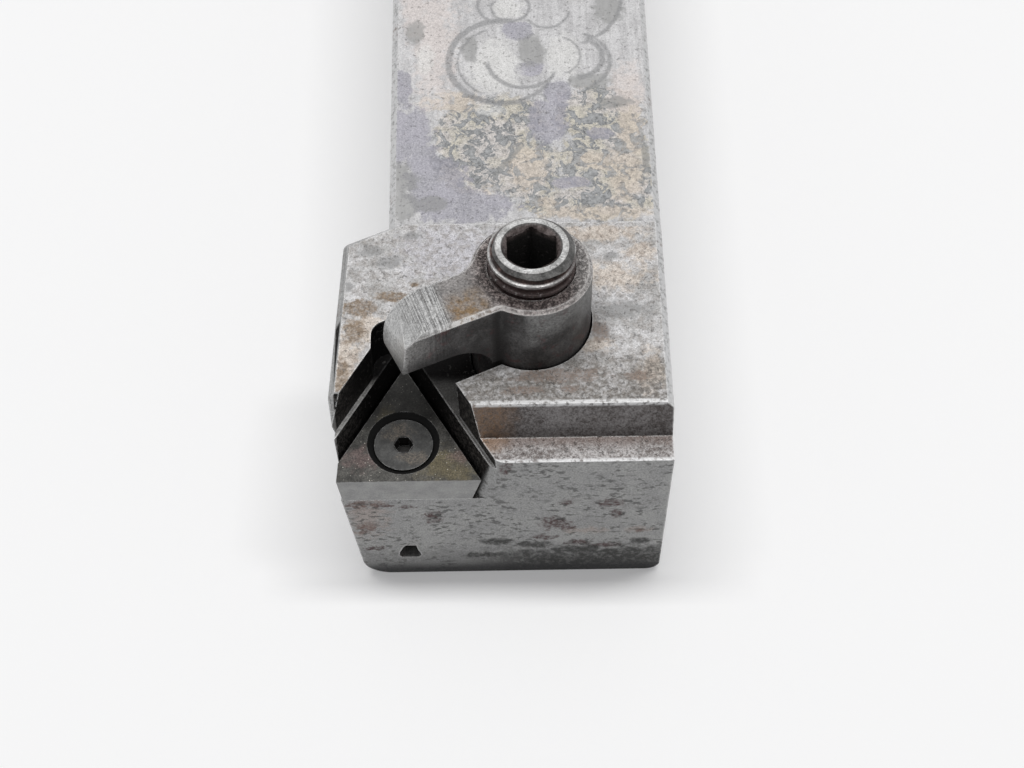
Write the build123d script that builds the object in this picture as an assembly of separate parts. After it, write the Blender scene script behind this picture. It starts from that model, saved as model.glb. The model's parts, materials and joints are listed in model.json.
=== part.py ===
"""Left-hand, offset-head turning tool holder with a finger clamp for a triangular insert.

+X is across the shank, +Y runs back along the shank and +Z is up. The origin is on the underside,
on the shank's centre line, where the head meets the shank. Millimetres and degrees.
"""
import os
from math import acos, cos, degrees, radians, sin, tan

from build123d import *

# Shank: a square bar
shank_width = 25.4
shank_height = 25.4
overall_length = 152.4
shank_edge_chamfer = 0.6
shank_base_radius = 1.4
shank_end_chamfer = 1.2

# Head: its right side is flush with the shank and its left side stands out
head_length = 23.7
head_rise = 0.3
head_overhang = 5.45
head_side_taper = 3.3
head_side_relief = 5.4
head_side_chamfer = 0.65
head_base_radius = 2.8
front_relief = 2.0
flare_length = 1.95
flare_radius = 0.8

# Ledge across the front of the head
ledge_depth = 3.57
ledge_width = 2.55
riser_run = 1.3

# Insert that the seat is made for
insert_inscribed_diameter = 9.525
insert_thickness = 3.175
insert_side_angle = 11.0
corner_angle = 60.0

# Shim and the pocket it lies in
seat_setin = 6.75
shim_top_drop = 6.8
shim_thickness = 3.5
shim_inset = 0.1
shim_corner_radius = 0.4
shim_side_setback = 0.12
pocket_side_gap = 0.47
pocket_wall_height = 1.95
pocket_step_width = 0.35
apex_relief_radius = 1.3
pocket_corner_radius = 1.5
wall_tip_loss = 1.5
wall_tip_lean = 23.0

# Shim screw
shim_hole_radius = 2.1
countersink_radius = 3.3
countersink_angle = 90.0
screw_head_radius = 2.67
screw_head_rim = 0.25
shim_screw_radius = 1.75
shim_screw_length = 10.5
shim_screw_bore_end = 3.45
screw_seat_gap = 0.02
shim_key_width = 1.55
shim_key_depth = 1.4
breakout_width = 2.1
breakout_height = 2.45
breakout_lower_edge = [(-0.95, 0.14), (-0.75, 0), (0.85, 0), (1.05, 0.16), (0.98, 0.38), (0.8, 0.58)]
breakout_upper_edge = [(0.66, 1), (-0.3, 1), (-0.55, 0.82), (-0.72, 0.6), (-0.9, 0.42)]

# Clamp axis: it leans back, away from the insert
clamp_axis_reach = 11.7
clamp_axis_setback = 12.9
clamp_lean = 5.4

# Clamp boss and the counterbore it slides in
boss_radius = 5.37
boss_height = 7.11
boss_depth = 6.2
boss_edge_chamfer = 0.3
boss_clearance = 0.17
counterbore_floor_gap = 0.5

# Clamp finger
finger_bearing = 24.7
finger_width = 5.3
finger_shift = 0.45
finger_reach = 13.84
finger_underside = 2.95
finger_arch_radius = 4.2
finger_arch_drop = 2.6
nose_bevel_length = 1.84
nose_bevel_drop = 0.87
nose_front_lean = 0.34
nose_round_radius = 5.6
nose_corner_radius = 1.4
far_root_radius = 3.0
near_root_radius = 0.6
clamp_travel = 4.7
slot_side_gap = 0.2
slot_end_reach = 2.7
slot_corner_radius = 1.5

# Clamp screw
thread_radius = 3.85
thread_clearance = 0.05
clamp_screw_stand = 9.85
clamp_screw_length = 24.5
clamp_screw_tip_radius = 3.29
clamp_screw_tip_chamfer = 0.56
neck_radius = 3.2
neck_start = 15.5
neck_length = 1.8
key_width = 4.3
key_depth = 6.0
key_mouth_radius = 2.71

# Sizes that follow from those above
head_top = shank_height + head_rise
shank_length = overall_length - head_length
ledge_height = head_top - ledge_depth
shim_top = head_top - shim_top_drop
pocket_floor = shim_top - shim_thickness
pocket_step = shim_top + pocket_wall_height
side_slope = tan(radians(insert_side_angle))
half_corner = corner_angle / 2
shim_inradius = insert_inscribed_diameter / 2 - insert_thickness * side_slope - shim_inset
front_at_shim_top = -head_length + (ledge_height - shim_top) * tan(radians(front_relief))
seat_x = -shank_width / 2 - head_overhang + seat_setin
seat_y = front_at_shim_top + shim_inradius
reach = 2 * overall_length
margin = 2.0

clamp_axis = Plane(
    origin=(seat_x + clamp_axis_reach, clamp_axis_setback - head_length, head_top),
    x_dir=(1, 0, 0),
    z_dir=(0, sin(radians(clamp_lean)), cos(radians(clamp_lean))),
)
finger_frame = clamp_axis.location * Rot(0, 0, 180 + finger_bearing)
finger_near_side = finger_width / 2 + finger_shift
finger_far_side = finger_width / 2 - finger_shift
counterbore_radius = boss_radius + boss_clearance
counterbore_depth = boss_depth + clamp_travel + counterbore_floor_gap


def beyond(origin, normal):
    """The half of space on the outer side of a plane."""
    return Plane(origin=origin, z_dir=normal) * Pos(0, 0, reach / 2) * Box(reach, reach, reach)


def seat_outline(inradius, front):
    """A triangle with its apex to the back, sides at inradius from the seat's centre, cut off at front."""
    apex = seat_y + inradius / sin(radians(half_corner))
    half_width = (apex - front) * tan(radians(half_corner))
    return Polygon(
        (seat_x, apex),
        (seat_x - half_width, front),
        (seat_x + half_width, front),
        align=None,
    )


def seat_prism(low_inradius, low, high_inradius, high, front):
    """A triangular block whose sides slope evenly from one size to another."""
    low_face = Pos(0, 0, low) * seat_outline(low_inradius, front)
    high_face = Pos(0, 0, high) * seat_outline(high_inradius, front)
    return loft([low_face, high_face], ruled=True)


def front_face_cutter():
    return beyond((0, -head_length, ledge_height), (0, -1, -tan(radians(front_relief))))


def side_face_cutter(setback=0.0):
    """Everything outside the head's left side, which leans in towards the shank and the base."""
    corner = (-shank_width / 2 - head_overhang + setback, -head_length, head_top)
    return beyond(corner, (-1, tan(radians(head_side_taper)), -tan(radians(head_side_relief))))


def head_blank():
    taper_run = (head_length - flare_length) * tan(radians(head_side_taper))
    flare_width = head_overhang - taper_run
    side = -shank_width / 2
    outline = Polygon(
        (shank_width / 2, 0),
        (shank_width / 2, -head_length - margin),
        (side - 2 * flare_width, -head_length - margin),
        (side - 2 * flare_width, -2 * flare_length),
        (side, 0),
        align=None,
    )
    head = extrude(outline, head_top, dir=(0, 0, 1))
    head -= side_face_cutter()
    base_edges = head.edges().filter_by_position(Axis.Z, -0.01, 0.01)
    head = fillet(base_edges.sort_by(Axis.X)[0], head_base_radius)
    corner = head.edges().filter_by(lambda e: -2 * flare_length < e.center().Y < -0.1).sort_by(Axis.X)[0]
    head = fillet(corner, flare_radius)
    head -= front_face_cutter()
    left_top = head.edges().filter_by_position(Axis.Z, head_top - 0.01, head_top + 0.01).sort_by(Axis.X)[0]
    return chamfer(left_top, head_side_chamfer)


def edge_waste(top, side, size):
    """The triangular strip that a chamfer takes off a top edge, in the XZ plane."""
    return Polygon((side - size, top), (side, top - size), (side + size, top + size), align=None)


def shank_bar():
    """The square bar, starting a little inside the head so that the two join."""
    inset = head_length / 2
    length = shank_length + inset
    bar = Pos(0, length / 2 - inset, shank_height / 2) * Box(shank_width, length, shank_height)
    bar = chamfer(bar.faces().sort_by(Axis.Y)[-1].edges(), shank_end_chamfer)
    long_edges = bar.edges().filter_by(Axis.Y)
    left_edges = long_edges.filter_by_position(Axis.X, -shank_width / 2 - 0.01, -shank_width / 2 + 0.01)
    return chamfer(left_edges, shank_edge_chamfer)


def right_edges_waste():
    """Chamfers along the right top edges and one radius along the base of shank and head."""
    side = shank_width / 2
    head_strip = Plane.XZ * edge_waste(head_top, side, shank_edge_chamfer)
    shank_strip = Plane.XZ * edge_waste(shank_height, side, shank_edge_chamfer)
    corner = Pos(side - shank_base_radius, shank_base_radius)
    size = shank_base_radius + margin
    base_strip = corner * (Pos(size / 2, -size / 2) * Rectangle(size, size) - Circle(shank_base_radius))
    waste = extrude(head_strip, head_length + margin, dir=(0, -1, 0))
    waste += extrude(shank_strip, shank_length + margin, dir=(0, 1, 0))
    waste += extrude(Plane.XZ * base_strip, reach, both=True)
    return waste


def ledge_waste():
    """What is milled off the front of the head, up to a riser that leans back."""
    front = -head_length
    slope = riser_run / ledge_depth
    above = head_top + margin
    profile = Polygon(
        (front - margin, ledge_height),
        (front + ledge_width, ledge_height),
        (front + ledge_width + slope * (above - ledge_height), above),
        (front - margin, above),
        align=None,
    )
    return extrude(Plane.YZ * profile, reach / 2, both=True)


def wall_tip_waste():
    """The tip broken off the thin wall on the left of the pocket: it slopes down to the pocket's step."""
    front = -head_length
    top_line = front + ledge_width + riser_run + wall_tip_loss
    above = head_top + margin
    lean = tan(radians(wall_tip_lean))
    profile = Polygon(
        (front - margin, pocket_step),
        (top_line - lean * (head_top - pocket_step), pocket_step),
        (top_line + lean * margin, above),
        (front - margin, above),
        align=None,
    )
    block = extrude(Plane.YZ * profile, reach / 2, dir=(-1, 0, 0))
    return Pos(seat_x, 0, 0) * block


def pocket_waste():
    """The seat: a lower pocket with the insert's side slope and a slightly wider one above it."""
    front = -head_length - margin
    gap = pocket_side_gap
    low = shim_inradius - shim_thickness * side_slope + gap
    high = shim_inradius + pocket_wall_height * side_slope + gap
    lower = seat_prism(low, pocket_floor, high, pocket_step, front)
    upper_face = Pos(0, 0, pocket_step) * seat_outline(high + pocket_step_width, front)
    upper = extrude(upper_face, head_top, dir=(0, 0, 1))
    apex = seat_y + low / sin(radians(half_corner))
    relief = Pos(seat_x, apex - apex_relief_radius, pocket_floor) * Cylinder(
        apex_relief_radius, head_top, align=(Align.CENTER, Align.CENTER, Align.MIN)
    )
    return lower + upper + relief


def slot_waste():
    """The sunk way that lets the finger down to the insert, from the counterbore to the pocket."""
    near = finger_near_side + slot_side_gap
    depth = head_top - pocket_step
    floor_centre = clamp_axis.origin - clamp_axis.z_dir * (depth / clamp_axis.z_dir.Z)
    width = near + counterbore_radius
    band = Pos(finger_reach, (near - counterbore_radius) / 2) * Rectangle(2 * finger_reach, width)
    band = Plane(origin=floor_centre) * Rot(0, 0, 180 + finger_bearing) * band
    end_line = seat_x - slot_end_reach
    band -= Pos(end_line - reach / 2, 0, pocket_step) * Rectangle(reach, reach)
    corner = band.vertices().sort_by(Axis.X).filter_by_position(Axis.X, end_line - 0.01, end_line + 0.01)
    band = fillet(corner.sort_by(Axis.Y)[-1], slot_corner_radius)
    return extrude(band, 2 * depth, dir=clamp_axis.z_dir)


def clamp_bores():
    """Counterbore for the boss and the hole that the clamp screw's lower end works in."""
    counterbore = clamp_axis * Pos(0, 0, -counterbore_depth) * Cylinder(
        counterbore_radius,
        counterbore_depth + head_top,
        align=(Align.CENTER, Align.CENTER, Align.MIN),
    )
    through = clamp_axis * Cylinder(thread_radius + thread_clearance, 3 * head_top)
    return counterbore + through


def shim_screw_bore():
    """Blind hole for the shim screw, and the ragged hole where its end breaks out of the front face."""
    breakout_outline = breakout_lower_edge + breakout_upper_edge
    depth = pocket_floor - shim_screw_bore_end
    bore = Pos(seat_x, seat_y, shim_screw_bore_end) * Cylinder(
        shim_screw_radius, depth + margin, align=(Align.CENTER, Align.CENTER, Align.MIN)
    )
    window = Polygon(
        *[(seat_x + x * breakout_width / 2, z * breakout_height) for x, z in breakout_outline],
        align=None,
    )
    window = Plane(origin=(0, seat_y, shim_screw_bore_end), x_dir=(1, 0, 0), z_dir=(0, -1, 0)) * window
    return bore + extrude(window, head_length, dir=(0, -1, 0))


def round_pocket_corner(body):
    """Rounds the front corner of the lower pocket wall, on the side of the ledge."""
    middle = (pocket_floor + pocket_step) / 2
    uprights = body.edges().filter_by(lambda e: abs(e.tangent_at(0.5).Z) > 0.8 and e.center().X > seat_x)
    corner = uprights.filter_by_position(Axis.Z, middle - 0.1, middle + 0.1).sort_by(Axis.Y)[0]
    return fillet(corner, pocket_corner_radius)


def make_holder_body():
    body = head_blank() + shank_bar()
    body -= right_edges_waste()
    body -= ledge_waste()
    body -= wall_tip_waste()
    body -= pocket_waste()
    body -= slot_waste()
    body -= clamp_bores()
    body -= shim_screw_bore()
    return round_pocket_corner(body)


def make_shim():
    low = shim_inradius - shim_thickness * side_slope
    shim = seat_prism(low, pocket_floor, shim_inradius, shim_top, -head_length - margin)
    upright = shim.edges().filter_by(lambda e: abs(e.tangent_at(0.5).Z) > 0.5).sort_by(Axis.Y)[-1]
    shim = fillet(upright, shim_corner_radius)
    shim -= front_face_cutter()
    shim -= side_face_cutter(setback=shim_side_setback)
    cone_depth = (countersink_radius - shim_hole_radius) / tan(radians(countersink_angle / 2))
    shim -= Pos(seat_x, seat_y, 0) * Cylinder(shim_hole_radius, 2 * head_top)
    cone = Cone(shim_hole_radius, countersink_radius, cone_depth)
    shim -= Pos(seat_x, seat_y, shim_top - cone_depth / 2) * cone
    return shim


def make_shim_screw():
    """Flat head with a conical seat, sunk until its cone meets the shim's countersink."""
    slope = tan(radians(countersink_angle / 2))
    head_drop = (countersink_radius - screw_head_radius) / slope
    top = shim_top - head_drop + screw_head_rim + screw_seat_gap
    cone_height = (screw_head_radius - shim_screw_radius) / slope
    rim = Pos(0, 0, top - screw_head_rim / 2) * Cylinder(screw_head_radius, screw_head_rim)
    cone = Pos(0, 0, top - screw_head_rim - cone_height / 2) * Cone(
        shim_screw_radius, screw_head_radius, cone_height
    )
    stem = Pos(0, 0, top - shim_screw_length / 2) * Cylinder(
        shim_screw_radius - thread_clearance, shim_screw_length
    )
    screw = rim + cone + stem
    key = RegularPolygon(shim_key_width / 2, 6, major_radius=False)
    screw -= extrude(Pos(0, 0, top - shim_key_depth) * key, shim_key_depth + margin, dir=(0, 0, 1))
    return Pos(seat_x, seat_y, 0) * screw


def finger_plan():
    """The finger and the boss from above, blended together, with the far corner of the tip rounded."""
    bar = Pos(finger_reach / 2, finger_shift) * Rectangle(finger_reach, finger_width)
    far_tip_corner = bar.vertices().group_by(Axis.X)[-1].sort_by(Axis.Y)[0]
    plan = fillet(far_tip_corner, nose_corner_radius) + Circle(boss_radius)
    far_root = plan.vertices().filter_by_position(Axis.Y, -finger_far_side - 0.01, -finger_far_side + 0.01)
    plan = fillet(far_root.sort_by(Axis.X)[0], far_root_radius)
    near_root = plan.vertices().filter_by_position(Axis.Y, finger_near_side - 0.01, finger_near_side + 0.01)
    return fillet(near_root.sort_by(Axis.X)[0], near_root_radius)


def underside_waste():
    """Everything under the finger: a level underside, and an arch down to the boss."""
    foot = finger_underside - finger_arch_drop
    arch_turn = degrees(acos(1 - finger_arch_drop / finger_arch_radius))
    arch_start = boss_radius + finger_arch_radius * sin(radians(arch_turn))
    arch = CenterArc((arch_start, finger_underside - finger_arch_radius), finger_arch_radius, 90, arch_turn)
    beyond_tip = finger_reach + margin
    rest = Polyline(
        (boss_radius, foot),
        (boss_radius, foot - margin),
        (beyond_tip, foot - margin),
        (beyond_tip, finger_underside),
        (arch_start, finger_underside),
    )
    return extrude(Plane.XZ * make_face([arch, *rest.edges()]), reach, both=True)


def nose_section(side, upper, lower):
    """What is taken off above the nose at one side of the finger, outside its upper and lower lines."""
    above = boss_height + margin
    beyond_tip = finger_reach + margin
    rest = Polyline(
        (finger_reach, finger_underside),
        (beyond_tip, finger_underside),
        (beyond_tip, above),
        (upper.position_at(0).X, above),
        (upper.position_at(0).X, boss_height),
    )
    return Pos(0, side, 0) * (Plane.XZ * make_face([upper, lower, *rest.edges()]))


def nose_waste():
    """The nose is bevelled on the near side and rolls over in one arc on the far side."""
    brow = (finger_reach - nose_front_lean, boss_height - nose_bevel_drop)
    bevel = Line((finger_reach - nose_bevel_length, boss_height), brow)
    front = Line(brow, (finger_reach, finger_underside))
    turn = degrees(acos(1 - (boss_height - finger_underside) / nose_round_radius))
    centre = (finger_reach - nose_round_radius * sin(radians(turn)), boss_height - nose_round_radius)
    upper_roll = CenterArc(centre, nose_round_radius, 90, -turn / 2)
    lower_roll = CenterArc(centre, nose_round_radius, 90 - turn / 2, -turn / 2)
    near_section = nose_section(finger_near_side, bevel, front)
    far_section = nose_section(-finger_far_side, upper_roll, lower_roll)
    return loft([near_section, far_section], ruled=True)


def make_clamp():
    """The finger and the round boss behind it, with a threaded hole through the boss."""
    finger = extrude(finger_plan(), boss_height, dir=(0, 0, 1)) - underside_waste() - nose_waste()
    lower_boss = Pos(0, 0, -boss_depth / 2) * Cylinder(boss_radius, boss_depth)
    clamp = finger + lower_boss
    top_rim = clamp.faces().sort_by(Axis.Z)[-1].edges().filter_by(GeomType.CIRCLE)
    bottom_rim = clamp.faces().sort_by(Axis.Z)[0].edges()
    clamp = chamfer([*top_rim, *bottom_rim], boss_edge_chamfer)
    bore = Cylinder(thread_radius + thread_clearance, 4 * boss_height)
    return finger_frame * (clamp - bore)


def make_clamp_screw():
    """A headless screw: one thread for the clamp, a neck, and a thread of the other hand for the holder."""
    top = clamp_screw_stand
    bottom = top - clamp_screw_length
    neck_top = top - neck_start
    neck_bottom = neck_top - neck_length
    shoulder = thread_radius - neck_radius
    profile = Polygon(
        (0, bottom),
        (clamp_screw_tip_radius, bottom),
        (thread_radius, bottom + clamp_screw_tip_chamfer),
        (thread_radius, neck_bottom - shoulder),
        (neck_radius, neck_bottom),
        (neck_radius, neck_top),
        (thread_radius, neck_top + shoulder),
        (thread_radius, top - clamp_screw_tip_chamfer),
        (clamp_screw_tip_radius, top),
        (0, top),
        align=None,
    )
    screw = revolve(Plane.XZ * profile, Axis.Z)
    key = Pos(0, 0, top - key_depth) * RegularPolygon(key_width / 2, 6, major_radius=False, rotation=30)
    screw -= extrude(key, key_depth + margin, dir=(0, 0, 1))
    screw -= Pos(0, 0, top - key_mouth_radius / 2) * Cone(0, key_mouth_radius, key_mouth_radius)
    return clamp_axis * screw


pieces = {
    "holder_body": make_holder_body(),
    "shim": make_shim(),
    "shim_screw": make_shim_screw(),
    "clamp": make_clamp(),
    "clamp_screw": make_clamp_screw(),
}
os.makedirs("parts", exist_ok=True)
for name, piece in pieces.items():
    export_step(piece, f"parts/{name}.step")
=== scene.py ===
"""Looks for the turning tool holder: worn, pitted, rust-stained steel, with its camera, light and floor.

Lengths are millimetres in the CAD model's frame, and MM turns them into metres.
"""

import json
import math
from types import SimpleNamespace

import bpy
from mathutils import Matrix, Vector


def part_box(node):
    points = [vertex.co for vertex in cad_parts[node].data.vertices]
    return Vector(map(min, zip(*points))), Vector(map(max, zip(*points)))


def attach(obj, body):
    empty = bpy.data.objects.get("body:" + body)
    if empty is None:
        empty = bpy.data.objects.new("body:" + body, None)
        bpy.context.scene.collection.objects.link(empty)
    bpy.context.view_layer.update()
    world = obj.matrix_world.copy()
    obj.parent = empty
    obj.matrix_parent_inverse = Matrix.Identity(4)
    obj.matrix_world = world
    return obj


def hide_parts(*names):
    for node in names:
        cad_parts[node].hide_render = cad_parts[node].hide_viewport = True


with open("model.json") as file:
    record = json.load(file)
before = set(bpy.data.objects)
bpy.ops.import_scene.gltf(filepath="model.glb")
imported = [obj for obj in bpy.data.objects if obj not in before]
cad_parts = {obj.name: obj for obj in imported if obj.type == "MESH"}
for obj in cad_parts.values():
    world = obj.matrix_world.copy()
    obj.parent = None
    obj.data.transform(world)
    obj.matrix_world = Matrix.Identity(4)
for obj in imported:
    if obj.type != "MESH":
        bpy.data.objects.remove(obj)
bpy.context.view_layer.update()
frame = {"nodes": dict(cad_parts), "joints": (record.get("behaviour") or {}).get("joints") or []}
MM = 0.001

# ---- Places on the part, from the frame and a few named lengths ----
holder_low, holder_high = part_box("holder_body")
shim_screw_low, shim_screw_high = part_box("shim_screw")
shim_screw_middle = (shim_screw_low + shim_screw_high) / (2 * MM)
screw_turn = next(joint for joint in frame["joints"] if joint["name"] == "screw_turn")

HEAD_TOP = holder_high.z / MM
HEAD_RISE = 0.3
SHANK_TOP = HEAD_TOP - HEAD_RISE
LEDGE_DEPTH = 3.57
LEDGE = HEAD_TOP - LEDGE_DEPTH
FRONT = holder_low.y / MM
SEAT = (shim_screw_middle.x, shim_screw_middle.y)
CLAMP_ORIGIN = Vector(screw_turn["pos_m"]) / MM
CLAMP_UP = Vector(screw_turn["axis"]).normalized()
CLAMP_X = Vector((1, 0, 0))
CLAMP_Y = CLAMP_UP.cross(CLAMP_X)
FINGER_BEARING = math.radians(180 + 24.7)
FINGER_ALONG = math.cos(FINGER_BEARING) * CLAMP_X + math.sin(FINGER_BEARING) * CLAMP_Y
FINGER_ACROSS = CLAMP_UP.cross(FINGER_ALONG)

# The clamp screw: heights are along its axis from CLAMP_ORIGIN, and drops are below its top
SCREW_TOP = 9.85
SCREW_BOTTOM = -14.65
SCREW_RADIUS = 3.85
TOP_CHAMFER = 0.65
BOTTOM_CHAMFER = 0.56
NECK_TOP = -5.65
NECK_BOTTOM = -7.45
NECK_RADIUS = 3.2
NECK_FLARE = 0.6
PITCH = 25.4 / 24
THREAD_DEPTH = 0.58
THREAD_HEIGHT = 9.1
THREAD_START = 0.25
CREST_SHARE = 0.34
FLANK_SHARE = 0.42
SOCKET_FLAT = 2.15
SOCKET_MOUTH = 2.71
SOCKET_DROPS = (0.0, 0.06, 0.12, 0.2, 0.3, 0.4, 0.56, 1.2, 3.0, 6.0)
SOCKET_DEEPEST = 7.0
SOCKET_POINT = 0.02
SCREW_COLUMNS = 144
SCREW_ROWS = 256

# The view, in millimetres and radians
SENSOR_WIDTH = 36
LENS = 70.283
VIEW_PLACE = Vector((-3.478, -112.73, 174.24))
VIEW_DOWN = math.radians(57.400)
VIEW_YAW = math.radians(1.1694)
VIEW_ROLL = math.radians(0.1378)

# The lamp, the floor and the world, in metres and watts
LAMP_PLACE = (0, 0.035, 0.7)
LAMP_TARGET = (0, 0.02, 0)
LAMP_SIZE = (0.6, 0.09)
LAMP_POWER = 3.3
FLOOR_REACH = 3.0
FLOOR_DROP = 0.00002
GLOW_REACH = 1.2
GLOW_NEAR = 0.18
GLOW_FAR = 0.66
WORLD_LIGHT = 0.34
WORLD_SEEN = 0.88

# ---- Colours, linear ----
WHITE = (1, 1, 1)
SIDE_DARK = (0.31, 0.31, 0.31)
SIDE_LIGHT = (0.37, 0.37, 0.365)
SIDE_STREAK = (0.21, 0.21, 0.21)
SIDE_RUST = (0.17, 0.115, 0.095)

PALE_LIGHT = (0.56, 0.555, 0.56)
PALE_DARK = (0.44, 0.435, 0.44)
FLAKE_ROSE = (0.57, 0.54, 0.52)
FLAKE_SAND = (0.545, 0.515, 0.45)
FLAKE_GAP = (0.35, 0.355, 0.36)
FLAKE_LINE = (0.205, 0.21, 0.215)
PEACH_DARK = (0.44, 0.39, 0.34)
PEACH_LIGHT = (0.60, 0.535, 0.465)
PINK_FILM = (0.60, 0.55, 0.53)
LAVENDER_DARK = (0.315, 0.31, 0.35)
LAVENDER_LIGHT = (0.405, 0.395, 0.45)
SHANK_GLOOM = (0.27, 0.27, 0.265)
RING_HEART = (0.64, 0.635, 0.62)
RING_LINE = (0.25, 0.25, 0.255)

HEAD_DARK = (0.34, 0.335, 0.33)
HEAD_LIGHT = (0.53, 0.525, 0.53)
HEAD_LAVENDER = (0.45, 0.44, 0.485)
HEAD_MOTTLE = (0.25, 0.23, 0.215)
HEAD_WARM_LIGHT = (0.53, 0.465, 0.40)
HEAD_WARM_DARK = (0.36, 0.30, 0.25)
HEAD_GRIME = (0.125, 0.113, 0.10)
HEAD_BROWN = (0.25, 0.195, 0.145)
HEAD_RUST = (0.165, 0.12, 0.095)
HEAD_DIM = (0.22, 0.22, 0.22)

FRONT_DARK = (0.275, 0.275, 0.275)
FRONT_LIGHT = (0.345, 0.345, 0.34)
FRONT_BLOOM = (0.105, 0.072, 0.072)
FRONT_ORANGE = (0.34, 0.255, 0.215)
FRONT_SCAB = (0.036, 0.036, 0.034)
# Painted shade at the foot of the front
FRONT_FOOT_SHADE = (0.03, 0.03, 0.032)

RISER_LIGHT = (0.175, 0.165, 0.165)
RISER_DARK = (0.05, 0.04, 0.038)
RISER_ORANGE = (0.135, 0.072, 0.032)
LEDGE_DARK = (0.13, 0.112, 0.105)
LEDGE_LIGHT = (0.39, 0.375, 0.37)
LEDGE_CORNER = (0.15, 0.11, 0.095)
LEDGE_ORANGE = (0.24, 0.15, 0.09)

# Pocket: painted shade, patchy painted light, and the bright steel of the step in its wall
POCKET_SHADE = (0.008, 0.0075, 0.0075)
POCKET_LIT = (0.085, 0.079, 0.074)
POCKET_STEP = (0.60, 0.59, 0.57)
HOLDER_SPECK = (0.13, 0.125, 0.12)
# Lips and chamfers: partly worn steel, partly painted highlight
LIP_WEAR_AND_HIGHLIGHT = (0.64, 0.64, 0.645)
# Worn edges, and the painted highlight along the pocket's step edge
BRIGHT_WEAR_AND_HIGHLIGHT = (0.80, 0.80, 0.80)

CLAMP_SIDE_DARK = (0.032, 0.030, 0.030)
CLAMP_SIDE_LIGHT = (0.085, 0.082, 0.082)
CLAMP_RED = (0.085, 0.036, 0.036)
CLAMP_TOP_DARK = (0.19, 0.18, 0.175)
CLAMP_TOP_LIGHT = (0.30, 0.285, 0.28)
CRUMB_DARK = (0.035, 0.022, 0.02)
CRUMB_LIGHT = (0.42, 0.375, 0.36)
WELL_DARK = (0.012, 0.007, 0.007)
WELL_LIGHT = (0.22, 0.18, 0.17)
CLAMP_STAIN = (0.20, 0.135, 0.075)
GROUND_DARK = (0.40, 0.40, 0.40)
GROUND_LIGHT = (0.52, 0.52, 0.515)
GROUND_SCORE = (0.13, 0.125, 0.12)
NOSE_FRONT = (0.27, 0.27, 0.265)
NOSE_SIDE = (0.27, 0.265, 0.26)
BOSS_OPEN_TOP = (0.44, 0.43, 0.42)
BOSS_SIDE = (0.225, 0.225, 0.222)
CLAMP_PIT = (0.05, 0.04, 0.035)
# Painted shade in the crease at the finger's root and under the finger
CREASE_SHADE = (0.012, 0.011, 0.011)
UNDER_FINGER_SHADE = (0.022, 0.021, 0.021)
CLAMP_WEAR = (0.80, 0.795, 0.79)
CLAMP_WEAR_WARM = (0.74, 0.715, 0.70)

THREAD_DARK = (0.30, 0.295, 0.29)
THREAD_LIGHT = (0.52, 0.515, 0.51)
CHAMFER_DARK = (0.035, 0.034, 0.033)
CHAMFER_LIGHT = (0.105, 0.103, 0.10)
RIM_DARK = (0.30, 0.30, 0.295)
RIM_LIGHT = (0.62, 0.62, 0.615)
ROOT_DARK = (0.02, 0.014, 0.013)
ROOT_RUST = (0.10, 0.06, 0.052)
THREAD_CRUST = (0.06, 0.038, 0.036)
SOCKET_DARK = (0.05, 0.037, 0.035)
SOCKET_LIGHT = (0.17, 0.14, 0.135)
# Painted shade deep in the clamp screw's socket
SOCKET_DEPTH_SHADE = (0.03, 0.028, 0.027)
THREAD_NICK = (0.12, 0.11, 0.11)

SHIM_DARK = (0.030, 0.029, 0.026)
SHIM_LIGHT = (0.082, 0.079, 0.072)
SHIM_OCHRE = (0.12, 0.10, 0.055)
SHIM_PLUM = (0.13, 0.09, 0.085)
SHIM_SPARK = (0.55, 0.52, 0.46)
SHIM_SIDE_DARK = (0.27, 0.27, 0.27)
SHIM_SIDE_LIGHT = (0.33, 0.33, 0.325)
# Painted shade in the countersink round the shim screw
SHIM_CONE_SHADE = (0.008, 0.008, 0.008)
SHIM_WEAR = (0.5, 0.5, 0.5)

DISC_DARK = (0.034, 0.034, 0.033)
DISC_LIGHT = (0.072, 0.072, 0.070)
DISC_SMEAR = (0.15, 0.125, 0.10)
# Painted shade in the shim screw's socket
DISC_SOCKET_SHADE = (0.015, 0.014, 0.013)
DISC_WEAR = (0.6, 0.6, 0.6)

FLOOR_COLOUR = (0.80, 0.80, 0.80)
FLOOR_GLOW = (0.98, 0.98, 1.0)


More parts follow.
